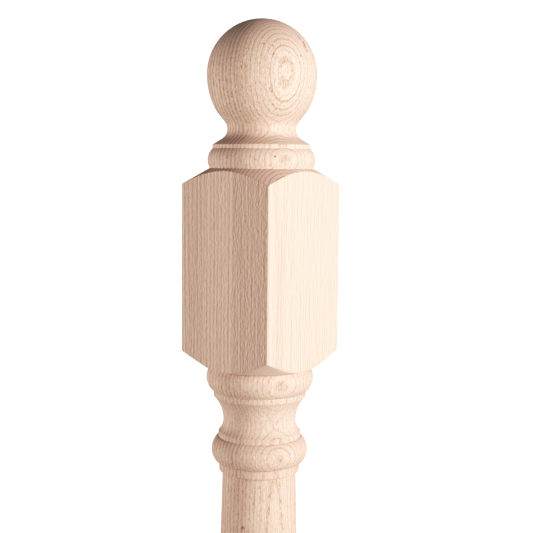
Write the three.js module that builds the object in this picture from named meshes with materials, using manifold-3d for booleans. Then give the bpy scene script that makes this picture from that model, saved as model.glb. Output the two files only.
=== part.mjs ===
// An oak newel post for a stair: one square blank, turned between its two square blocks.
// Millimetres, +Z up, the underside on the floor at z = 0, the block faces square to X and Y.
// The turned profile is a lathe solid that passes outside the blank where a square block is left,
// and the post is what the blank and the turning have in common.

import * as THREE from 'three';
import { mergeVertices } from 'three/addons/utils/BufferGeometryUtils.js';
import Module from 'manifold-3d';

const wasm = await Module();
wasm.setup();

// Driving dimensions
const postHeight = 1092;
const blankSide = 82.5;
const railBlockLength = 123.4; // corner to corner
const footBlockHeight = 340; // floor to the top corners

// Levels are heights above the rail block's top corners, so those under them are negative.
// The ball finial is a sphere above its middle and drawn out a little longer below it.
const ball = { level: 79.3, radius: 40.2, longHalf: 46.7, leaveAngle: 34, leaveHandle: 3 };
// The hollow under the ball, a round of its own radius
const neck = { level: 40.1, radius: 25.2, hollow: 8.3, throatAngle: 162.5, throatHandle: 3 };
// The collar between ball and block: a straight fillet over a rounded ring
const collar = { filletTop: 28.7, filletRadius: 36.0, ringTop: 25.7, ringTopRadius: 36.2, bulge: 2.3 };
// The sloping shoulders of both blocks, cut as a cone
const shoulder = { radius: 38.0, rise: 11.7 };
// The ring that meets a block's shoulder on the shaft's side, and the straight fillet beyond it
const blockRing = { nearRadius: 37.4, farRadius: 34.7, height: 18.4, bulge: 3.7 };
const blockFillet = { radius: 34.4, height: 3.7 };
// The hollow below the rail block narrows slowly and flares out fast to a fillet
const railHollow = { level: -175.4, radius: 27.1, filletTop: -184.1, filletRadius: 30.8 };
// The ring and the fillet where the shaft begins
const shaftRing = { top: -188, topRadius: 31.7, bottom: -206.8, bottomRadius: 32.4, bulge: 3.8 };
const shaftFillet = { bottom: -213.7, radius: 30.1 };
// The shaft is a plain taper that ends in a rounded vase over the foot block
const shaft = { topRadius: 27.5, widening: 0.027 };
const vase = { hollowRadius: 27.1, hollowRise: 17.7, bellyRise: 62, bellyHandle: 16, hollowHandle: 9 };

// How finely the round stretches are stepped; turns is a multiple of 8, so that one step meets each corner
const steps = { turns: 48, ring: 6, hollow: 5, flare: 4, neck: 6, throat: 5, vase: 10, ballLower: 5, ballUpper: 12 };

const deg = Math.PI / 180;
const cornerRadius = blankSide / Math.SQRT2;
const topCorner = postHeight - ball.level - ball.radius; // height of the rail block's top corners
const bottomCorner = topCorner - railBlockLength;
const clearance = 4; // how far the turning passes outside the blank's corners and ends
const mergeTolerance = 1e-4;

function point(radius, height) {
	return new THREE.Vector2(radius, height);
}

function level(aboveCorner) {
	return topCorner + aboveCorner;
}

// Points of a circle or ellipse round centre, from one angle to another, both ends included
function arc(centre, across, up, from, to, count) {
	const points = [];
	for (let i = 0; i <= count; i++) {
		const angle = from + ((to - from) * i) / count;
		points.push(point(centre.x + across * Math.cos(angle), centre.y + up * Math.sin(angle)));
	}
	return points;
}

// A rounded ring from its lower to its upper edge, its middle standing proud of the line between them
function ring(lower, upper, bulge) {
	const chord = upper.clone().sub(lower);
	const half = chord.length() / 2;
	const radius = (half * half + bulge * bulge) / (2 * bulge);
	const outward = point(chord.y, -chord.x).normalize();
	const centre = lower.clone().add(upper).multiplyScalar(0.5).addScaledVector(outward, bulge - radius);
	const start = lower.clone().sub(centre).angle() - 2 * Math.PI;
	return arc(centre, radius, radius, start, start + 2 * Math.asin(half / radius), steps.ring);
}

// A hollow: a circular arc that stands upright at its narrow end and runs out to its wide end
function hollow(narrow, wide, count) {
	const deep = wide.x - narrow.x;
	const tall = wide.y - narrow.y;
	const radius = (deep * deep + tall * tall) / (2 * deep);
	const centre = point(narrow.x + radius, narrow.y);
	return arc(centre, radius, radius, Math.PI, Math.PI - Math.asin(tall / radius), count);
}

// The shoulder cone, carried on past the blank's corner so that the turning leaves the block square
function shoulderCone(cornerLevel, side) {
	const slope = shoulder.rise / (cornerRadius - shoulder.radius);
	return [
		point(cornerRadius + clearance, cornerLevel - side * slope * clearance),
		point(shoulder.radius, cornerLevel + side * shoulder.rise),
	];
}

// The shaft tapers evenly up to the fillet under its ring
function shaftRadiusAt(height) {
	return shaft.topRadius + shaft.widening * (level(shaftFillet.bottom) - height);
}

// Foot block, its shoulder, ring, fillet and hollow, and the vase that the shaft rises from
function footTurning() {
	const ringBottom = footBlockHeight + shoulder.rise;
	const ringTop = ringBottom + blockRing.height;
	const filletTop = ringTop + blockFillet.height;
	const bellyHeight = filletTop + vase.bellyRise;
	const narrow = point(vase.hollowRadius, filletTop + vase.hollowRise);
	const belly = point(shaftRadiusAt(bellyHeight), bellyHeight);
	const vaseCurve = new THREE.CubicBezierCurve(
		narrow,
		point(narrow.x, narrow.y + vase.hollowHandle),
		point(shaftRadiusAt(belly.y - vase.bellyHandle), belly.y - vase.bellyHandle),
		belly,
	);
	return [
		point(0, -clearance),
		point(cornerRadius + clearance, -clearance),
		...shoulderCone(footBlockHeight, 1),
		...ring(point(blockRing.nearRadius, ringBottom), point(blockRing.farRadius, ringTop), blockRing.bulge),
		point(blockFillet.radius, ringTop),
		...hollow(narrow, point(blockFillet.radius, filletTop), steps.hollow).reverse(),
		...vaseCurve.getPoints(steps.vase).slice(1),
	];
}

// Shaft head, ring, hollow and ring below the rail block, from the shaft up
function headTurning() {
	const ringTop = bottomCorner - shoulder.rise;
	const ringBottom = ringTop - blockRing.height;
	const narrow = point(railHollow.radius, level(railHollow.level));
	return [
		point(shaft.topRadius, level(shaftFillet.bottom)),
		point(shaftFillet.radius, level(shaftFillet.bottom)),
		point(shaftFillet.radius, level(shaftRing.bottom)),
		...ring(
			point(shaftRing.bottomRadius, level(shaftRing.bottom)),
			point(shaftRing.topRadius, level(shaftRing.top)),
			shaftRing.bulge,
		),
		point(railHollow.filletRadius, level(shaftRing.top)),
		...hollow(narrow, point(railHollow.filletRadius, level(railHollow.filletTop)), steps.flare).reverse(),
		...hollow(narrow, point(blockFillet.radius, ringBottom - blockFillet.height), steps.hollow).slice(1),
		point(blockFillet.radius, ringBottom),
		...ring(point(blockRing.farRadius, ringBottom), point(blockRing.nearRadius, ringTop), blockRing.bulge),
	];
}

// Collar above the rail block, and the hollow that flares from it up into the throat
function collarTurning() {
	const filletTop = point(collar.filletRadius, level(collar.filletTop));
	const centre = point(neck.radius + neck.hollow, level(neck.level));
	const flare = filletTop.clone().sub(centre);
	const flareAngle = flare.angle() - Math.acos(neck.hollow / flare.length());
	return [
		...ring(
			point(shoulder.radius, level(shoulder.rise)),
			point(collar.ringTopRadius, level(collar.ringTop)),
			collar.bulge,
		),
		point(collar.filletRadius, level(collar.ringTop)),
		filletTop,
		...arc(centre, neck.hollow, neck.hollow, flareAngle, neck.throatAngle * deg, steps.neck),
	];
}

// The throat is a soft S that leaves the hollow and the ball on their own directions, and then comes the ball
function ballTurning(throatFoot) {
	const centre = point(0, level(ball.level));
	const leave = -ball.leaveAngle * deg;
	const lowerBall = arc(centre, ball.radius, ball.longHalf, leave, 0, steps.ballLower);
	const upperBall = arc(centre, ball.radius, ball.radius, 0, Math.PI / 2, steps.ballUpper);
	const hollowUp = point(Math.sin(neck.throatAngle * deg), -Math.cos(neck.throatAngle * deg));
	const ballDown = point(ball.radius * Math.sin(leave), -ball.longHalf * Math.cos(leave)).normalize();
	const throat = new THREE.CubicBezierCurve(
		throatFoot,
		throatFoot.clone().addScaledVector(hollowUp, neck.throatHandle),
		lowerBall[0].clone().addScaledVector(ballDown, ball.leaveHandle),
		lowerBall[0],
	);
	return [
		...throat.getPoints(steps.throat).slice(1),
		...lowerBall.slice(1),
		...upperBall.slice(1, -1),
		point(0, postHeight),
	];
}

// The whole turned profile, from the axis under the floor to the axis at the top of the ball
function turning() {
	const collarPoints = collarTurning();
	return [
		...footTurning(),
		...headTurning(),
		...shoulderCone(bottomCorner, -1).reverse(),
		...shoulderCone(topCorner, 1).slice(0, 1),
		...collarPoints,
		...ballTurning(collarPoints.at(-1)),
	];
}

// A closed geometry as a manifold solid: shared points merged, triangles flattened at the axis left out
function solidOf(geometry) {
	geometry.deleteAttribute('normal');
	geometry.deleteAttribute('uv');
	const merged = mergeVertices(geometry, mergeTolerance);
	const corners = merged.index.array;
	const triangles = [];
	for (let i = 0; i < corners.length; i += 3) {
		const [a, b, c] = [corners[i], corners[i + 1], corners[i + 2]];
		if (a !== b && b !== c && c !== a) triangles.push(a, b, c);
	}
	return new wasm.Manifold(
		new wasm.Mesh({
			numProp: 3,
			vertProperties: new Float32Array(merged.attributes.position.array),
			triVerts: new Uint32Array(triangles),
		}),
	);
}

function geometryOf(solid) {
	const mesh = solid.getMesh();
	const geometry = new THREE.BufferGeometry();
	geometry.setAttribute('position', new THREE.BufferAttribute(mesh.vertProperties, 3));
	geometry.setIndex(new THREE.BufferAttribute(mesh.triVerts, 1));
	geometry.computeVertexNormals();
	return geometry;
}

// The square blank stands on the floor and reaches past the top of the ball
function blank() {
	const height = postHeight + clearance;
	return solidOf(new THREE.BoxGeometry(blankSide, blankSide, height).translate(0, 0, height / 2));
}

function turned() {
	return solidOf(new THREE.LatheGeometry(turning(), steps.turns).rotateX(Math.PI / 2));
}

const oak = new THREE.MeshStandardMaterial({ color: 0xe2c5b2, roughness: 0.72, metalness: 0 });

const newelPost = new THREE.Mesh(geometryOf(blank().intersect(turned())), oak);
newelPost.name = 'newel_post';

const post = new THREE.Group();
post.add(newelPost);

export default post;
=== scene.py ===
import math

import bpy
import numpy as np
from mathutils import Matrix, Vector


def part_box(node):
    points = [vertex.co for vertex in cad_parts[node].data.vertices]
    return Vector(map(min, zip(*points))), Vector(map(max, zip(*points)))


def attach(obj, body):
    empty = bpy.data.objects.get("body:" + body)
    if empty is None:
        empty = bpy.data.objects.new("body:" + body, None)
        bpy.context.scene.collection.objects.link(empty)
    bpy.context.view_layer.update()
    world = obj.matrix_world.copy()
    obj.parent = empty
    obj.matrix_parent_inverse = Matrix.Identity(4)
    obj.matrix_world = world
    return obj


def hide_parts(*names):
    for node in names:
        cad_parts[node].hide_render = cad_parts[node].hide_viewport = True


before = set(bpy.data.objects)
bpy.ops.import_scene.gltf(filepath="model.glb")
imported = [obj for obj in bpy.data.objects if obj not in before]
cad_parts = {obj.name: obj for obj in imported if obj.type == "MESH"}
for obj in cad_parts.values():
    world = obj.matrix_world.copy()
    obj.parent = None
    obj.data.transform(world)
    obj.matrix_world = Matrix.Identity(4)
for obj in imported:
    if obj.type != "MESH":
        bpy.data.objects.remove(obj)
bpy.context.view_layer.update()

# An unfinished oak newel post: one glued-up blank, turned between its square blocks.
# Shapes are worked out in millimetres and put into the meshes in metres.

mm = 0.001
deg = math.pi / 180

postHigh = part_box("newel_post")[1]
blankHalf = postHigh.x / mm
postHeight = postHigh.z / mm


def addObject(name, data):
    made = bpy.data.objects.new(name, data)
    bpy.context.scene.collection.objects.link(made)
    return made


def standing(right, up, back, place):
    # the world matrix of a camera or a lamp, which looks away from its own back
    matrix = np.eye(4)
    matrix[:3] = np.stack([right, up, back, place], axis=1)
    return Matrix(matrix.tolist())


# Levels are heights above the rail block's top corners, as a turner marks them on the blank.
post = {
    "ball": {"level": 79.3, "radius": 40.2, "longHalf": 46.7, "leaveAngle": 34, "leaveHandle": 3},
    "neck": {"level": 40.1, "radius": 25.2, "hollow": 8.3, "throatAngle": 162.5, "throatHandle": 3},
    "collar": {"filletTop": 28.7, "filletRadius": 36.0, "ringTop": 25.7, "ringTopRadius": 36.2, "bulge": 2.3},
    "shoulder": {"radius": 38.0, "rise": 11.7, "swell": 1.15, "swellPower": 3},
    "railBlockLength": 123.4,
    "blockRing": {"nearRadius": 37.4, "farRadius": 34.7, "height": 18.4, "bulge": 3.7},
    "blockFillet": {"radius": 34.4, "height": 3.7},
    "railHollow": {"level": -175.4, "radius": 27.1, "filletTop": -184.1, "filletRadius": 30.8},
    "shaftRing": {"top": -188, "topRadius": 31.7, "bottom": -206.8, "bottomRadius": 32.4, "bulge": 3.8},
    "shaftFillet": {"bottom": -213.7, "radius": 30.1},
    "shaft": {"topRadius": 27.5, "widening": 0.027},
    "vase": {"hollowRadius": 27.1, "hollowRise": 17.7, "bellyRise": 62, "bellyHandle": 16, "hollowHandle": 9},
    "footBlockHeight": 340,
    "cornerRound": 0.4,     # sanded vertical corners of the blocks
    "arrisRound": 0.55,     # sanded edges between block faces and shoulders
    "mouldingRound": 0.16,  # sanded edges of the turned mouldings
    "curveSteps": 40,       # steps along each arc and curve of the outline
    "outlineStep": 0.04,    # between the outline's points while it is sanded
    "bellReaches": 4,       # the bell curve that sands it ends so many roundings away
    "bendPoints": 5,        # points that the outline's bend is averaged over
    "bendRows": 9.0,        # how strongly sharp bends draw rows to themselves
    "finialRows": 128,
    "shaftRows": 150,
    "columnsPerFace": 56,
    "cornerColumns": 9,
    "cornerTurn": 1.1,      # degrees to each side of a corner that its own columns cover
    "edgeRows": 6,          # rows over each sanded edge of a block
    # rows between the edges of a block, as shares of the way down or in
    "shoulderRows": (0.03, 0.12, 0.35, 0.65, 0.9, 0.98),
    "faceRows": (0.003, 0.02, 0.07, 0.16, 0.28, 0.42, 0.58, 0.72, 0.84, 0.93, 0.98, 0.997),
    "lowShoulderRows": (0.02, 0.1, 0.2, 0.3, 0.4, 0.5, 0.6, 0.7, 0.8, 0.88, 0.94, 0.98),
    "undersideRows": (0.02, 0.3, 0.7),
}

cornerRadius = blankHalf * math.sqrt(2)
shoulderSpan = cornerRadius - post["shoulder"]["radius"]
topCorner = postHeight - post["ball"]["level"] - post["ball"]["radius"]
bottomCorner = topCorner - post["railBlockLength"]


def level(aboveCorner):
    return topCorner + aboveCorner


def arc(centre, across, up, start, end):
    # centre + (across cos a, up sin a), the angle a running evenly from start to end
    angle = np.linspace(start, end, post["curveSteps"] + 1)
    return np.stack([centre[0] + across * np.cos(angle), centre[1] + up * np.sin(angle)], axis=1)


def ring(upper, lower, bulge):
    # the circular arc through both edges whose middle stands bulge proud of their chord
    upper, lower = np.array(upper, float), np.array(lower, float)
    chord = upper - lower
    half = np.hypot(*chord) / 2
    radius = (half ** 2 + bulge ** 2) / (2 * bulge)
    outward = np.array([chord[1], -chord[0]]) / (2 * half)
    centre = (upper + lower) / 2 + outward * (bulge - radius)
    middle = math.atan2(outward[1], outward[0])
    spread = math.asin(half / radius)
    return arc(centre, radius, radius, middle + spread, middle - spread)


def hollow(narrow, wide):
    # the circular arc that is upright at its narrow end and runs out to its wide end
    deep, tall = wide[0] - narrow[0], wide[1] - narrow[1]
    radius = (deep ** 2 + tall ** 2) / (2 * deep)
    return arc((narrow[0] + radius, narrow[1]), radius, radius, math.pi, math.pi - math.asin(tall / radius))


def bezier(a, b, c, d):
    # a (1-t)^3 + 3 b t (1-t)^2 + 3 c t^2 (1-t) + d t^3: leaves a towards b and reaches d from c
    a, b, c, d = (np.array(p, float) for p in (a, b, c, d))
    t = np.linspace(0, 1, post["curveSteps"] + 1)[:, None]
    return a * (1 - t) ** 3 + 3 * b * t * (1 - t) ** 2 + 3 * c * t ** 2 * (1 - t) + d * t ** 3


def finialOutline():
    # ball, throat, neck hollow, fillet and collar ring, from the top down
    ball, neck, collar = post["ball"], post["neck"], post["collar"]
    centre = (0, level(ball["level"]))
    leave = -ball["leaveAngle"] * deg
    upper = arc(centre, ball["radius"], ball["radius"], math.pi / 2, 0)
    lower = arc(centre, ball["radius"], ball["longHalf"], 0, leave)
    ballDown = np.array([ball["radius"] * math.sin(leave), -ball["longHalf"] * math.cos(leave)])
    ballDown /= np.hypot(*ballDown)
    neckCentre = np.array([neck["radius"] + neck["hollow"], level(neck["level"])])
    throatAngle = neck["throatAngle"] * deg
    filletTop = np.array([collar["filletRadius"], level(collar["filletTop"])])
    flare = filletTop - neckCentre
    flareAngle = math.atan2(flare[1], flare[0]) + 2 * math.pi - math.acos(neck["hollow"] / np.hypot(*flare))
    neckArc = arc(neckCentre, neck["hollow"], neck["hollow"], throatAngle, flareAngle)
    hollowUp = np.array([math.sin(throatAngle), -math.cos(throatAngle)])
    throat = bezier(
        lower[-1],
        lower[-1] + ballDown * ball["leaveHandle"],
        neckArc[0] + hollowUp * neck["throatHandle"],
        neckArc[0],
    )
    ringTop = level(collar["ringTop"])
    shoulderTop = (post["shoulder"]["radius"], level(post["shoulder"]["rise"]))
    return np.concatenate([
        upper,
        lower[1:],
        throat[1:],
        neckArc[1:],
        [filletTop, (collar["filletRadius"], ringTop)],
        ring((collar["ringTopRadius"], ringTop), shoulderTop, collar["bulge"]),
    ])


def shaftRadiusAt(height):
    below = level(post["shaftFillet"]["bottom"]) - height
    return post["shaft"]["topRadius"] + post["shaft"]["widening"] * below


def shaftOutline():
    # everything turned between the two blocks, from the top down
    blockRing, blockFillet, vase = post["blockRing"], post["blockFillet"], post["vase"]
    railHollow, shaftRing, shaftFillet = post["railHollow"], post["shaftRing"], post["shaftFillet"]
    near, far = blockRing["nearRadius"], blockRing["farRadius"]
    ringTop = bottomCorner - post["shoulder"]["rise"]
    ringBottom = ringTop - blockRing["height"]
    railNarrow = (railHollow["radius"], level(railHollow["level"]))
    railFlareEnd = (railHollow["filletRadius"], level(railHollow["filletTop"]))
    footRingBottom = post["footBlockHeight"] + post["shoulder"]["rise"]
    footRingTop = footRingBottom + blockRing["height"]
    footFilletTop = footRingTop + blockFillet["height"]
    vaseNarrow = (vase["hollowRadius"], footFilletTop + vase["hollowRise"])
    bellyHeight = footFilletTop + vase["bellyRise"]
    handleHeight = bellyHeight - vase["bellyHandle"]
    return np.concatenate([
        ring((near, ringTop), (far, ringBottom), blockRing["bulge"]),
        [(blockFillet["radius"], ringBottom)],
        hollow(railNarrow, (blockFillet["radius"], ringBottom - blockFillet["height"]))[::-1],
        hollow(railNarrow, railFlareEnd)[1:],
        [(railHollow["filletRadius"], level(shaftRing["top"]))],
        ring(
            (shaftRing["topRadius"], level(shaftRing["top"])),
            (shaftRing["bottomRadius"], level(shaftRing["bottom"])),
            shaftRing["bulge"],
        ),
        [
            (shaftFillet["radius"], level(shaftRing["bottom"])),
            (shaftFillet["radius"], level(shaftFillet["bottom"])),
            (post["shaft"]["topRadius"], level(shaftFillet["bottom"])),
        ],
        bezier(
            (shaftRadiusAt(bellyHeight), bellyHeight),
            (shaftRadiusAt(handleHeight), handleHeight),
            (vaseNarrow[0], vaseNarrow[1] + vase["hollowHandle"]),
            vaseNarrow,
        ),
        hollow(vaseNarrow, (blockFillet["radius"], footFilletTop))[1:],
        [(blockFillet["radius"], footRingTop)],
        ring((far, footRingTop), (near, footRingBottom), blockRing["bulge"]),
    ])


def sanded(outline, rows):
    # the outline at even steps, each point averaged with its neighbours under a bell curve, as sanding does;
    # then rows fall closer together where the outline turns faster
    step, reach = post["outlineStep"], post["mouldingRound"]
    run = np.concatenate([[0], np.cumsum(np.hypot(*np.diff(outline, axis=0).T))])
    even = np.linspace(0, run[-1], int(run[-1] / step))
    line = np.stack([np.interp(even, run, outline[:, k]) for k in (0, 1)], axis=1)
    width = int(post["bellReaches"] * reach / step)
    bell = np.exp(-0.5 * (np.arange(-width, width + 1) * step / reach) ** 2)
    bell /= bell.sum()
    before = 2 * line[0] - line[width:0:-1]
    after = 2 * line[-1] - line[-2:-width - 2:-1]
    padded = np.concatenate([before, line, after])
    line = np.stack([np.convolve(padded[:, k], bell, mode="valid") for k in (0, 1)], axis=1)
    heading = np.unwrap(np.arctan2(*np.gradient(line, axis=0).T))
    average = np.ones(post["bendPoints"]) / post["bendPoints"]
    bend = np.convolve(np.abs(np.gradient(heading)), average, mode="same")
    weight = step / run[-1] + bend * post["bendRows"] / np.sum(bend) / rows
    weight += np.sqrt(bend) / np.sum(np.sqrt(bend))
    share = np.concatenate([[0], np.cumsum(weight)[:-1]])
    place = np.interp(np.linspace(0, share[-1], rows), share, np.arange(len(line)))
    return np.stack([np.interp(place, np.arange(len(line)), line[:, k]) for k in (0, 1)], axis=1)


def columnAngles():
    # even steps across each face, with extra columns round each sanded corner
    corner = post["cornerTurn"] * deg
    face = np.linspace(-math.pi / 4 + corner, math.pi / 4 - corner, post["columnsPerFace"])
    turn = math.pi / 4 + np.linspace(-corner, corner, post["cornerColumns"] + 2)[1:-1]
    quarter = np.concatenate([face, turn])
    return np.concatenate([quarter + k * math.pi / 2 for k in range(4)])


def blankRadius(angles):
    # distance from the axis to a square with rounded corners, along each angle
    c = np.maximum(np.abs(np.cos(angles)), np.abs(np.sin(angles)))
    s = np.minimum(np.abs(np.cos(angles)), np.abs(np.sin(angles)))
    flat = blankHalf / c
    inner = blankHalf - post["cornerRound"]
    along = (c + s) * inner
    rounded = along + np.sqrt(np.maximum(along ** 2 - 2 * inner ** 2 + post["cornerRound"] ** 2, 0))
    return np.where(flat * s <= inner, flat, rounded)


def roundedEdge(corner, before, after):
    # start (1-t)^2 + 2 corner t (1-t) + end t^2: leaves the corner out by the arris radius on each side
    t = np.linspace(0, 1, post["edgeRows"])[:, None, None]
    start = corner + before * post["arrisRound"]
    end = corner + after * post["arrisRound"]
    return start * (1 - t) ** 2 + 2 * corner * t * (1 - t) + end * t ** 2


def blend(start, end, shares):
    return start + (end - start) * np.asarray(shares)[:, None, None]


def lowShoulder(share, cornerLevel):
    # corner - rise s - swell sin(pi s^power), with s the share of the way from the corner in to the ring:
    # a cone that swells a little near the ring
    shoulder = post["shoulder"]
    swell = shoulder["swell"] * np.sin(math.pi * share ** shoulder["swellPower"])
    return cornerLevel - shoulder["rise"] * share - swell


def lowShoulderFall(share):
    # how fast that falls: rise + swell pi power s^(power-1) cos(pi s^power)
    shoulder = post["shoulder"]
    power = shoulder["swellPower"]
    turn = math.pi * power * share ** (power - 1) * np.cos(math.pi * share ** power)
    return shoulder["rise"] + shoulder["swell"] * turn


def blockRows(blank, cornerLevel, floorLevel, openFoot):
    # shoulder cone, face and lower shoulder (or underside) at every angle: the face starts where the cone
    # meets the blank, which is what draws the arches
    shoulder = post["shoulder"]
    slope = shoulder["rise"] / shoulderSpan
    ones = np.ones_like(blank)
    inShare = (cornerRadius - blank) / shoulderSpan
    coneTop = np.stack([shoulder["radius"] * ones, (cornerLevel + shoulder["rise"]) * ones], axis=1)
    topEdge = np.stack([blank, cornerLevel + slope * (cornerRadius - blank)], axis=1)
    up = np.array([0.0, 1.0])
    upCone = np.array([-1, slope]) / math.hypot(1, slope)
    edge = roundedEdge(topEdge, upCone, -up)
    if openFoot:
        lowEdge = np.stack([blank, floorLevel * ones], axis=1)
        lowRound = roundedEdge(lowEdge, up, np.array([-1.0, 0.0]))
        beyond = blend(lowRound[-1], lowRound[-1] * [0, 1], post["undersideRows"])
    else:
        inward = np.stack([-shoulderSpan * ones, -lowShoulderFall(inShare)], axis=1)
        inward /= np.hypot(*inward.T)[:, None]
        lowEdge = np.stack([blank, lowShoulder(inShare, floorLevel)], axis=1)
        lowRound = roundedEdge(lowEdge, up, inward)
        radii = blend(lowRound[-1][:, :1], shoulder["radius"], post["lowShoulderRows"])[..., 0]
        beyond = np.stack([radii, lowShoulder((cornerRadius - radii) / shoulderSpan, floorLevel)], axis=2)
    return np.concatenate([
        blend(coneTop, edge[0], post["shoulderRows"]),
        edge,
        blend(edge[-1], lowRound[0], post["faceRows"]),
        lowRound,
        beyond,
    ])


def buildPost():
    # rows of (radius, height) for every column angle, from the top of the ball to the underside
    angles = columnAngles()
    blank = blankRadius(angles)
    columns = len(angles)
    finial = sanded(finialOutline(), post["finialRows"])[1:]
    shaft = sanded(shaftOutline(), post["shaftRows"])
    grid = np.concatenate([
        np.repeat(finial[:, None], columns, axis=1),
        blockRows(blank, topCorner, bottomCorner, False),
        np.repeat(shaft[:, None], columns, axis=1),
        blockRows(blank, post["footBlockHeight"], 0.0, True),
    ])
    # (radius cos a, radius sin a, height), and one more point at each end of the axis
    radius, height = grid[..., 0], grid[..., 1]
    points = np.stack([radius * np.cos(angles), radius * np.sin(angles), height], axis=2).reshape(-1, 3)
    rows = len(grid)
    top, bottom = len(points), len(points) + 1
    points = np.concatenate([points, [[0, 0, postHeight], [0, 0, 0]]]) * mm
    here = np.arange(rows * columns).reshape(rows, columns)
    beside = np.roll(here, -1, axis=1)
    quads = np.stack([here[:-1], here[1:], beside[1:], beside[:-1]], axis=2).reshape(-1, 4)
    cap = [(top, a, b) for a, b in zip(here[0].tolist(), beside[0].tolist())]
    base = [(bottom, b, a) for a, b in zip(here[-1].tolist(), beside[-1].tolist())]
    mesh = bpy.data.meshes.new("oak_newel_post")
    mesh.from_pydata(points.tolist(), [], quads.tolist() + cap + base)
    mesh.validate()
    mesh.polygons.foreach_set("use_smooth", np.ones(len(mesh.polygons), bool))
    mesh.update()
    print("post:", rows, "rows,", columns, "columns,", len(mesh.polygons), "faces")
    return addObject("oak_newel_post", mesh)


class Wire:
    # one socket of a shader, so that its maths reads as ordinary expressions
    def __init__(self, tree, socket=None):
        self.tree = tree
        self.socket = socket

    def node(self, kind, values=None, settings=None, out=0):
        # a node of that type: its settings first, then numbers or wires for its sockets
        made = self.tree.nodes.new(kind)
        for name, value in (settings or {}).items():
            setattr(made, name, value)
        for key, value in (values or {}).items():
            if isinstance(value, Wire):
                self.tree.links.new(value.socket, made.inputs[key])
            else:
                made.inputs[key].default_value = value
        return Wire(self.tree, made.outputs[out] if made.outputs else None)

    def parts(self, names=(0, 1, 2)):
        # the outputs of this wire's own node
        return [Wire(self.tree, self.socket.node.outputs[name]) for name in names]

    def split(self):
        # the three numbers of a vector
        return self.node("ShaderNodeSeparateXYZ", {0: self}).parts()

    def maths(self, operation, *values):
        return self.node("ShaderNodeMath", dict(enumerate((self, *values))), {"operation": operation})

    def __add__(self, other):
        return self.maths("ADD", other)

    def __sub__(self, other):
        return self.maths("SUBTRACT", other)

    def __mul__(self, other):
        return self.maths("MULTIPLY", other)

    def __truediv__(self, other):
        return self.maths("DIVIDE", other)

    def __pow__(self, other):
        return self.maths("POWER", other)

    def __rsub__(self, other):
        return self * -1.0 + other

    def above(self, edge):
        return self.maths("GREATER_THAN", edge)

    def below(self, edge):
        return self.maths("LESS_THAN", edge)

    def larger(self, other):
        return self.maths("MAXIMUM", other)

    def size(self):
        return self.maths("ABSOLUTE")

    def ease(self, low, high, start=0.0, end=1.0):
        # a soft step from start, at low, to end, at high
        return self.node(
            "ShaderNodeMapRange",
            {"Value": self, "From Min": low, "From Max": high, "To Min": start, "To Max": end},
            {"interpolation_type": "SMOOTHSTEP"},
        )

    def band(self, middle, near, far):
        # 1 within near of the middle, and 0 from far on
        return (self - middle).size().ease(near, far, 1.0, 0.0)

    def colour(self, first, second):
        # this wire is the share of second; both are colours
        return self.node("ShaderNodeMix", {"Factor": self, 6: first, 7: second}, {"data_type": "RGBA"}, out=2)

    def vector(self, x, y, z):
        return self.node("ShaderNodeCombineXYZ", {0: x, 1: y, 2: z})

    def noise(self, x, y, z, detail=1.0):
        # soft noise about 0, from -1 to 1 at most
        values = {"Vector": self.vector(x, y, z), "Scale": 1.0, "Detail": detail}
        return self.node("ShaderNodeTexNoise", values) * 2.0 - 1.0

    def cells(self, x, y, z):
        # distance to the nearest of a scatter of points, and that point's own random number
        near = self.node("ShaderNodeTexVoronoi", {"Vector": self.vector(x, y, z), "Scale": 1.0})
        return near, self.node("ShaderNodeSeparateColor", {0: near.parts(["Color"])[0]})


def emptyShader(owner):
    # the shader of a material or a world, cleared, as a first wire
    owner.use_nodes = True
    owner.node_tree.nodes.clear()
    return Wire(owner.node_tree)


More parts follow.
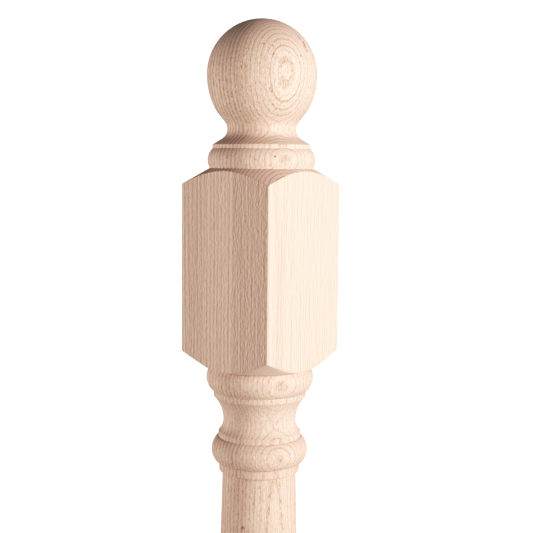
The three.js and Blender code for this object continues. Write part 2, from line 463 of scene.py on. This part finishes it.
oak = {
    # Three boards are glued side by side, parted by planes across X. Values in threes are for the boards from
    # left to right as the camera sees them. A pith is where the heart of that board's tree stood.
    "seams": (-18.0, 8.6),
    "piths": ((66.0, -30.0), (62.0, -29.0), (58.9, -27.5)),
    "noiseShift": (40.0, 0.0, 90.0),        # so that one board's noise doesn't run on into the next

    # zones, by where a soft step starts and ends, in mm
    "planed": (40.7, 41.15),                # distance from the axis: the four planed faces
    "clean": (40.5, 41.1),                  # along X: the right face, whose grain is quiet
    "shaftZone": (780.0, 795.0),            # height: the shaft is below
    "ballZone": (1012.0, 1026.0),           # height: the ball is above
    "coveZone": (801.5, 9.0, 14.0),         # the long hollow: its middle, then near and far
    "filletZone": (999.7, 1.4, 1.8),        # the collar's fillet, likewise
    "upwardPower": 1.5,                     # how fast end grain and painted shade from above show as a surface turns up
    "downwardFrom": (0.7, 0.86),            # how far a surface looks down before it is an underside, which gets painted light from below

    # growth rings
    "sway": (0.16, 0.4, 0.13),              # how far the grain sways from side to side, mm
    "swaySize": (7.0, 13.0),                # sizes of a noise are in mm, across and then up
    "drift": 1.1,                           # and how far it wanders in long bows
    "driftSize": (30.0, 110.0),
    "driftShift": 7.0,
    "ringRate": (0.262, 0.290, 0.165),      # rings for each mm away from the heart
    "ringGain": (0.0, 0.0, 0.00215),        # and how much closer they stand further out
    "ringStart": (0.1, 0.4, 0.48),
    "lateYears": (7.1, 8.3),                # over these rings the tree grew less
    "lateRings": (0.0, 0.0, 0.27),          # by this share of a ring
    "jitter": 0.14,                         # how ragged a ring's edge is, as a share of a ring
    "jitterZones": {"shaft": -0.08},
    "jitterSize": (1.3, 6.0),
    "earlyStarts": 0.1,                     # share of a ring where its open-pored wood is in full
    "earlyFades": (0.3, 0.3, 0.12),         # where that starts to fade
    "earlyEnds": (0.8, 0.8, 0.45),          # and where it has gone
    "earlyMean": 0.3,                       # taken off, so that rings leave the board's tone as it is
    "ringWeight": (0.27, 0.31, 0.22),
    "ringZones": {"ball": 0.35, "cove": -0.5},
    "ringTears": 1.1,                       # how much of it turning tears out
    "yearWeight": 0.14,                     # some years are deeper than others
    "yearStep": 3.7,                        # far enough through the noise that two years differ
    "yearLength": 300.0,

    # finer rings that show on the ball and on end grain
    "hatchRate": 2.4,                       # for each growth ring
    "hatchJitter": 2.0,
    "hatchFades": (0.15, 0.55),
    "hatchMean": 0.35,
    "hatchWeight": 0.28,

    # fibres: a noise less the same one a line's width further along the face leaves only fine lines
    "lineWidth": 0.96,
    "longWeight": (0.52, 0.34, 0.50),
    "longSize": (1.05, 1.05, 75.0),         # across, on a face square to Y and on one square to X, and up
    "fibreWeight": (0.36, 0.38, 0.53),
    "fibreSize": (0.9, 0.95),
    "fibreLength": (3.8, 3.2, 3.2),
    "fibreLengthZones": {"clean": 10.0},
    "fibreRange": (0.5, 0.6),               # what goes in beyond the first number comes out as the second
    "fibreZones": {"turned": -0.45},
    "tornWeight": 0.25,                     # roughness that turning across the fibres leaves
    "tornSize": (0.85, 1.1),
    "tornOnFace": {"face": -0.55},
    "tornZones": {"ball": 0.9},

    # rays run out from the heart: size round it, out from it and up, then where they start and are in full
    "aroundHeart": 55.0,                    # mm of run for each radian round the heart
    "rays": (
        {"size": (0.8, 8.0, 3.4), "shift": 0.0, "shows": (0.1, 0.5), "weight": 0.18},
        {"size": (1.5, 14.0, 13.0), "shift": 5.0, "shows": (0.3, 0.6), "weight": 0.25},
    ),
    "rayZones": {"face": -0.75},

    # pores run up the trunk, mostly in the early wood
    "poreSize": (1.1, 3.2, 0.85),           # round the heart, up and out
    "poreEdge": (0.32, 0.48),               # from its middle, in those sizes
    "poreChance": 0.7,                      # a pore opens by its own chance
    "poreEarly": 0.75,                      # and by how much early wood it is in,
    "poreShows": (0.75, 1.05),              # from the first sum on, and in full from the second
    "facePores": 0.27,                      # how deep they are on a planed face
    "turnedPores": 0.7,                     # on a turned surface
    "slicedPores": 1.3,                     # and where that lies along the rings, which opens them lengthwise
    "slicedFrom": (0.75, 0.97),
    "poreZones": {"ball": 0.4, "cove": -0.55},

    # the right seam shows on the faces as lines: how far to its side, and how much deeper
    "seamLines": ((-0.7, -0.2), (1.3, 0.15)),
    "seamEdge": (0.3, 0.9),

    # tone, from pale at 0 to deep at 1
    "middleTone": 0.5,
    "boardTone": (-0.06, -0.21, 0.05),      # on the planed faces
    "turnedTone": (-0.07, -0.075, 0.045),   # and where the post is turned
    # undersides are made paler here, as painted light from below
    "toneZones": {
        "shaft": 0.08, "clean": -0.07, "paintedUnderLight": -0.36, "fillet": -0.1, "ball": 0.03, "cove": -0.04,
    },
    "calmZones": {"clean": 0.4, "upward": 0.35, "paintedUnderLight": 0.7},   # how much of the grain is lost there; on undersides it is washed out with the painted light from below

    # pale ray flecks on the left face: how far across, how high, and half of how long each is
    "flecks": ((-2.3, 962.0, 6.0), (-2.3, 944.5, 5.0), (-1.2, 930.0, 3.0)),
    "fleckHalf": 0.7,                       # half of how wide they are
    "fleckCore": 0.3,                       # share of the squared distance that is evenly pale
    "fleckTone": 0.4,
    "fleckFace": -41.0,                     # the left face lies beyond this Y

    # surfaces that face up turn darker, partly as end grain and partly as painted shade from above: how much
    # by board, and with early wood, fine rings and, as painted shade, the ball's top
    "endGrainAndShade": (0.54, 0.54, 0.38),
    "endEarly": 0.6,
    "endHatch": 0.32,
    "ballTopShade": 0.13,

    "pale": (0.90, 0.645, 0.51, 1),
    "deep": (0.515, 0.30, 0.197, 1),
    "pore": (0.42, 0.20, 0.10, 1),
    # the darker colour that surfaces facing up turn towards: end grain, and painted shade from above
    "upFacingShadeColour": (0.315, 0.183, 0.142, 1),
    "spot": (0.23, 0.09, 0.045, 1),

    # pin knots, pits and torn grain: each at a place in mm, with a radius and how dark it is
    "spots": (
        ((7.8, -27.4, 721.5), 1.9, 0.78), ((31.8, -22.9, 992.7), 1.1, 0.9),
        ((18.9, -34.2, 992.9), 0.9, 0.5), ((22.0, -32.8, 990.5), 0.9, 0.45),
        ((23.7, -26.7, 1070.3), 1.0, 0.85), ((28.6, -22.5, 1068.9), 0.9, 0.8),
        ((30.3, -23.8, 1063.3), 1.1, 0.85), ((28.8, -28.0, 1053.6), 1.0, 0.5),
        ((29.5, -27.0, 1056.8), 0.8, 0.45), ((28.9, -25.6, 1039.7), 1.2, 0.6),
        ((29.5, -24.5, 1037.5), 1.1, 0.75), ((27.9, -21.2, 1028.9), 0.9, 0.8),
        ((31.7, -18.6, 1032.9), 1.0, 0.6), ((28.4, -17.8, 1026.1), 1.0, 0.4),
        ((35.8, -13.1, 1064.7), 0.9, 0.6), ((38.3, -3.9, 1063.2), 1.0, 0.9),
        ((30.8, 3.2, 1077.4), 1.5, 0.75), ((32.0, 3.2, 1075.8), 1.5, 0.75),
        ((33.3, 5.4, 1073.4), 1.9, 0.75), ((34.4, 5.2, 1071.9), 1.9, 0.75),
        ((35.4, 5.0, 1070.0), 1.8, 0.75), ((36.7, 5.0, 1067.5), 1.7, 0.7),
    ),
    "spotCore": 0.4,                        # share of the radius that is evenly dark

    "specular": 0.3,
    "roughness": 0.7,
    "roughFibre": 0.06,
    "relief": {"fibre": 0.03, "pore": 0.3, "early": 0.06},      # shares of the depth below, in metres
    "reliefDepth": 0.0006,
    "reliefStrength": 0.5,
}


def makeOak():
    material = bpy.data.materials.new("oak")
    w = emptyShader(material)
    place = w.node("ShaderNodeTexCoord", out="Object")
    normal = w.node("ShaderNodeTexCoord", out="Normal").split()
    x, y, z = (part * (1 / mm) for part in place.split())

    # which board, and the zones where the wood looks different: each is 1 inside and 0 outside
    left = x.below(oak["seams"][0])
    right = x.above(oak["seams"][1])
    face = x.size().larger(y.size()).ease(*oak["planed"])
    zones = {
        "face": face,
        "turned": 1.0 - face,
        "clean": x.ease(*oak["clean"]),
        "shaft": z.ease(*oak["shaftZone"], 1.0, 0.0),
        "ball": z.ease(*oak["ballZone"]),
        "cove": z.band(*oak["coveZone"]),
        "fillet": z.band(*oak["filletZone"]),
        "upward": normal[2].larger(0.0) ** oak["upwardPower"],
        # undersides, where light from below is painted on
        "paintedUnderLight": (normal[2] * -1.0).ease(*oak["downwardFrom"]),
    }

    def ofBoard(values):
        return left * (values[0] - values[1]) + right * (values[2] - values[1]) + values[1]

    def byZone(start, changes):
        # start, plus each named zone's change inside that zone
        for zone, change in changes.items():
            start = zones[zone] * change + start
        return start

    # distance from the heart, with the sway of the grain, gives the growth rings
    own = ofBoard(oak["noiseShift"])
    across, up = oak["swaySize"]
    sway = w.noise(x / across, y / across, z / up + own) * ofBoard(oak["sway"])
    across, up = oak["driftSize"]
    driftX = w.noise(x / across, y / across, (z + own) / up) * oak["drift"]
    driftY = w.noise(x / across + oak["driftShift"], y / across, (z + own) / up) * oak["drift"]
    woodX, woodY = x + sway + driftX, y + sway + driftY
    awayX = woodX - ofBoard([pith[0] for pith in oak["piths"]])
    awayY = woodY - ofBoard([pith[1] for pith in oak["piths"]])
    distance = (awayX * awayX + awayY * awayY) ** 0.5
    rate = distance * ofBoard(oak["ringGain"]) + ofBoard(oak["ringRate"])
    rings = distance * rate + ofBoard(oak["ringStart"])
    rings = rings + rings.ease(*oak["lateYears"]) * ofBoard(oak["lateRings"])
    across, up = oak["jitterSize"]
    jitter = w.noise(x / across, y / across, z / up) * byZone(oak["jitter"], oak["jitterZones"])
    phase = (rings + jitter).maths("FRACT")
    fading = phase.ease(ofBoard(oak["earlyFades"]), ofBoard(oak["earlyEnds"]), 1.0, 0.0)
    early = phase.ease(0.0, oak["earlyStarts"]) * fading
    yearly = w.noise(rings.maths("FLOOR") * oak["yearStep"], own, z / oak["yearLength"])
    hatch = (rings * oak["hatchRate"] + jitter * oak["hatchJitter"]).maths("FRACT")
    hatch = hatch.ease(*oak["hatchFades"], 1.0, 0.0)

    # fibres run up the trunk
    alongX = x.size().below(y.size())
    nextX = woodX + alongX * oak["lineWidth"]
    nextY = y + (1.0 - alongX) * oak["lineWidth"]

    def fineLines(acrossX, acrossY, up):
        here = w.noise(woodX / acrossX, y / acrossY, z / up)
        return here - w.noise(nextX / acrossX, nextY / acrossY, z / up)

    long = fineLines(*oak["longSize"])
    fibre = fineLines(*oak["fibreSize"], byZone(ofBoard(oak["fibreLength"]), oak["fibreLengthZones"]))
    limit, most = oak["fibreRange"]
    fibre = fibre.ease(-limit, limit, -most, most)
    across, up = oak["tornSize"]
    torn = w.noise(x / across, y / across, z / up) * byZone(1.0, oak["tornOnFace"]) * (1.0 - zones["clean"])

    # rays run out from the heart
    around = awayY.maths("ARCTAN2", awayX) * oak["aroundHeart"]
    rays = 0.0
    for ray in oak["rays"]:
        across, out, up = ray["size"]
        streaks = w.noise(around / across, distance / out, z / up + ray["shift"])
        rays = streaks.ease(*ray["shows"]) * ray["weight"] + rays

    # pores run up the trunk too
    across, up, out = oak["poreSize"]
    near, chance = w.cells(around / across, z / up, distance / out)
    opened = (chance * oak["poreChance"] + early * oak["poreEarly"]).ease(*oak["poreShows"])
    sliced = ((normal[0] * awayX + normal[1] * awayY) / distance).size().ease(*oak["slicedFrom"])
    turnedPores = sliced * (oak["slicedPores"] - oak["turnedPores"]) + oak["turnedPores"]
    depth = zones["turned"] * (turnedPores - oak["facePores"]) + oak["facePores"]
    pore = near.ease(*oak["poreEdge"], 1.0, 0.0) * opened * depth * byZone(1.0, oak["poreZones"])

    # all of these make the wood's tone
    tornEarly = early * (torn * zones["turned"] * oak["ringTears"] + 1.0) - oak["earlyMean"]
    lines = fibre * ofBoard(oak["fibreWeight"]) + long * ofBoard(oak["longWeight"])
    grain = (
        tornEarly * ofBoard(oak["ringWeight"]) * byZone(1.0, oak["ringZones"])
        + yearly * oak["yearWeight"]
        + lines * byZone(1.0, oak["fibreZones"])
        + torn * oak["tornWeight"] * byZone(1.0, oak["tornZones"])
        + (hatch - oak["hatchMean"]) * zones["ball"] * oak["hatchWeight"]
        - rays * byZone(1.0, oak["rayZones"])
    )
    for beside, deeper in oak["seamLines"]:
        grain = grain + x.band(oak["seams"][1] + beside, *oak["seamEdge"]) * face * deeper
    calm = 1.0
    for zone, lost in oak["calmZones"].items():
        calm = (1.0 - zones[zone] * lost) * calm
    tone = grain * calm + ofBoard(oak["boardTone"]) * face + ofBoard(oak["turnedTone"]) * zones["turned"]
    # undersides turn paler here: painted light from below
    tone = byZone(tone + oak["middleTone"], oak["toneZones"])
    for fleckX, fleckZ, half in oak["flecks"]:
        offX, offZ = (x - fleckX) / oak["fleckHalf"], (z - fleckZ) / half
        fleck = (offX * offX + offZ * offZ).ease(oak["fleckCore"], 1.0, oak["fleckTone"], 0.0)
        tone = tone - fleck * y.below(oak["fleckFace"])

    # colours: wood, its pores, end grain with painted shade on surfaces that face up, then the dark spots
    wood = (pore * calm).colour(tone.colour(oak["pale"], oak["deep"]), oak["pore"])
    upFacingShade = early * oak["endEarly"] + hatch * oak["endHatch"] + zones["ball"] * oak["ballTopShade"]
    # surfaces that face up are darkened: end grain, with painted shade from above, most on the ball's top
    wood = (zones["upward"] * (upFacingShade + ofBoard(oak["endGrainAndShade"]))).colour(wood, oak["upFacingShadeColour"])
    for middle, radius, dark in oak["spots"]:
        values = {0: place, 1: [value * mm for value in middle]}
        off = w.node("ShaderNodeVectorMath", values, {"operation": "DISTANCE"}, out="Value")
        wood = off.ease(radius * oak["spotCore"] * mm, radius * mm, dark, 0.0).colour(wood, oak["spot"])

    relief = oak["relief"]
    height = fibre * relief["fibre"] - pore * relief["pore"] - early * relief["early"]
    bump = {"Strength": oak["reliefStrength"], "Distance": oak["reliefDepth"], "Height": height}
    shader = w.node(
        "ShaderNodeBsdfPrincipled",
        {
            "Base Color": wood,
            "Roughness": fibre * oak["roughFibre"] + oak["roughness"],
            "Normal": w.node("ShaderNodeBump", bump),
            "Specular IOR Level": oak["specular"],
        },
    )
    w.node("ShaderNodeOutputMaterial", {"Surface": shader})
    print("oak:", len(oak["piths"]), "boards,", len(w.tree.nodes), "nodes")
    return material


floor = {
    "radius": 0.9,
    "rings": 12,
    "spokes": 96,
    "pale": (0.87, 0.86, 0.85, 1),
    "dull": (0.83, 0.82, 0.81, 1),
    "mottles": 9.0,             # for each metre
    "mottleDetail": 3.0,
    "roughness": 0.8,
}


def buildFloor():
    # a disc: (share radius cos a, share radius sin a, 0), the share falling from 1 at the rim
    angles = np.arange(floor["spokes"]) / floor["spokes"] * 2 * math.pi
    shares = np.linspace(1, 0, floor["rings"] + 1)[:-1]
    radius = floor["radius"] * shares[:, None]
    flat = np.zeros_like(radius * angles)
    points = np.stack([radius * np.cos(angles), radius * np.sin(angles), flat], axis=2).reshape(-1, 3)
    here = np.arange(len(points)).reshape(len(shares), -1)
    beside = np.roll(here, -1, axis=1)
    quads = np.stack([here[:-1], beside[:-1], beside[1:], here[1:]], axis=2).reshape(-1, 4)
    middle = [(a, b, len(points)) for a, b in zip(here[-1].tolist(), beside[-1].tolist())]
    mesh = bpy.data.meshes.new("floor")
    mesh.from_pydata(points.tolist() + [(0, 0, 0)], [], quads.tolist() + middle)
    mesh.update()
    disc = addObject("floor", mesh)
    material = bpy.data.materials.new("floorPaint")
    w = emptyShader(material)
    x, y, _ = w.node("ShaderNodeTexCoord", out="Object").split()
    mottle = w.noise(x * floor["mottles"], y * floor["mottles"], 0.0, floor["mottleDetail"])
    paint = (mottle * 0.5 + 0.5).colour(floor["pale"], floor["dull"])
    shader = w.node("ShaderNodeBsdfPrincipled", {"Base Color": paint, "Roughness": floor["roughness"]})
    w.node("ShaderNodeOutputMaterial", {"Surface": shader})
    disc.data.materials.append(material)
    print("floor:", len(mesh.polygons), "faces")


view = {
    "lens": 71.34,
    "sensor": 36,
    "away": 0.778,          # level distance from the post's axis
    "aside": 0.00438,       # the axis stands this far left of the camera's line
    "aboveCorner": 0.01769,
    "azimuth": 39.77,       # round from -Y towards +X, in degrees
    "pitch": 5.756,
    "roll": -0.472,
    "clip": (0.05, 50),
}


def buildCamera():
    # the camera's right, up and forward directions: turned round the post, pitched down, then rolled
    turn, pitch, roll = (view[k] * deg for k in ("azimuth", "pitch", "roll"))
    right = np.array([math.cos(turn), math.sin(turn), 0])
    ahead = np.array([-math.sin(turn), math.cos(turn), 0])
    up = np.array([0, 0, 1])
    forward = math.cos(pitch) * ahead - math.sin(pitch) * up
    lifted = math.sin(pitch) * ahead + math.cos(pitch) * up
    across = math.cos(roll) * right - math.sin(roll) * lifted
    upward = math.sin(roll) * right + math.cos(roll) * lifted
    place = right * view["aside"] - ahead * view["away"]
    place[2] = topCorner * mm + view["aboveCorner"]
    data = bpy.data.cameras.new("camera")
    data.lens = view["lens"]
    data.sensor_width = view["sensor"]
    data.clip_start, data.clip_end = view["clip"]
    camera = addObject("camera", data)
    camera.matrix_world = standing(across, upward, -forward, place)
    bpy.context.scene.camera = camera
    print("camera: lens", view["lens"])


lights = {
    # azimuth in degrees from the camera's side, positive to its right; height, and away from the post's axis
    "key": {
        "azimuth": 56, "height": 1.04, "away": 1.0,
        "size": 0.5, "power": 21.0, "colour": (1.0, 0.99, 0.99),
    },
    "front": {
        "azimuth": -15, "height": 1.08, "away": 1.0,
        "size": 0.5, "power": 4.5, "colour": (1.0, 0.97, 0.935),
    },
    "rim": {
        "azimuth": -105, "height": 0.83, "away": 1.0,
        "size": 0.5, "power": 8.15, "colour": (1.0, 0.955, 0.945),
    },
    "back": {
        "azimuth": 120, "height": 2.07, "away": 1.38,
        "size": 1.1, "power": 15.2, "colour": (1.0, 1.0, 1.0),
    },
}


def buildLights():
    # every lamp is a square panel that looks at the middle of the rail block
    aim = np.array([0, 0, (topCorner + bottomCorner) / 2 * mm])
    for name, light in lights.items():
        turn = (view["azimuth"] + light["azimuth"]) * deg
        place = np.array([math.sin(turn) * light["away"], -math.cos(turn) * light["away"], light["height"]])
        back = place - aim
        back /= np.linalg.norm(back)
        side = np.cross([0, 0, 1], back)
        side /= np.linalg.norm(side)
        data = bpy.data.lights.new(name, "AREA")
        data.size = light["size"]
        data.energy = light["power"]
        data.color = light["colour"]
        lamp = addObject(name, data)
        lamp.matrix_world = standing(side, np.cross(back, side), back, place)
        lamp.visible_camera = False
    print("lights:", ", ".join(lights))


backdrop = {"white": 1.95}


def buildWorld():
    # the camera sees a blown-out white backdrop; it lights nothing, since the lamps do the work
    world = bpy.data.worlds.new("studio")
    w = emptyShader(world)
    seenByCamera = w.node("ShaderNodeLightPath")
    values = {"Color": (1, 1, 1, 1), "Strength": seenByCamera * backdrop["white"]}
    w.node("ShaderNodeOutputWorld", {"Surface": w.node("ShaderNodeBackground", values)})
    bpy.context.scene.world = world
    print("world: backdrop at", backdrop["white"])


film = {"knee": 0.5, "white": 1.85, "points": 15}


def buildFilm():
    # a film's response: shade = exposure up to the knee,
    # then 1 - (1-knee) ((white-exposure) / (white-knee))^2, which lies level where it reaches white
    knee, white = film["knee"], film["white"]
    exposure = white * np.linspace(0, 1, film["points"])
    above = np.maximum(exposure, knee)
    shade = np.minimum(exposure, knee) + (1 - knee) * (1 - ((white - above) / (white - knee)) ** 2)
    settings = bpy.context.scene.view_settings
    settings.view_transform = "Standard"
    settings.use_curve_mapping = True
    mapping = settings.curve_mapping
    mapping.white_level = (white, white, white)
    curve = mapping.curves[3]   # the one for all three colours
    for x, y in zip(exposure[1:-1] / white, shade[1:-1]):
        curve.points.new(float(x), float(y))
    mapping.update()
    print("film:", len(curve.points), "points")


buildCamera()
piece = buildPost()
piece.data.materials.append(makeOak())
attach(piece, "root")
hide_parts("newel_post")
buildFloor()
buildLights()
buildWorld()
buildFilm()
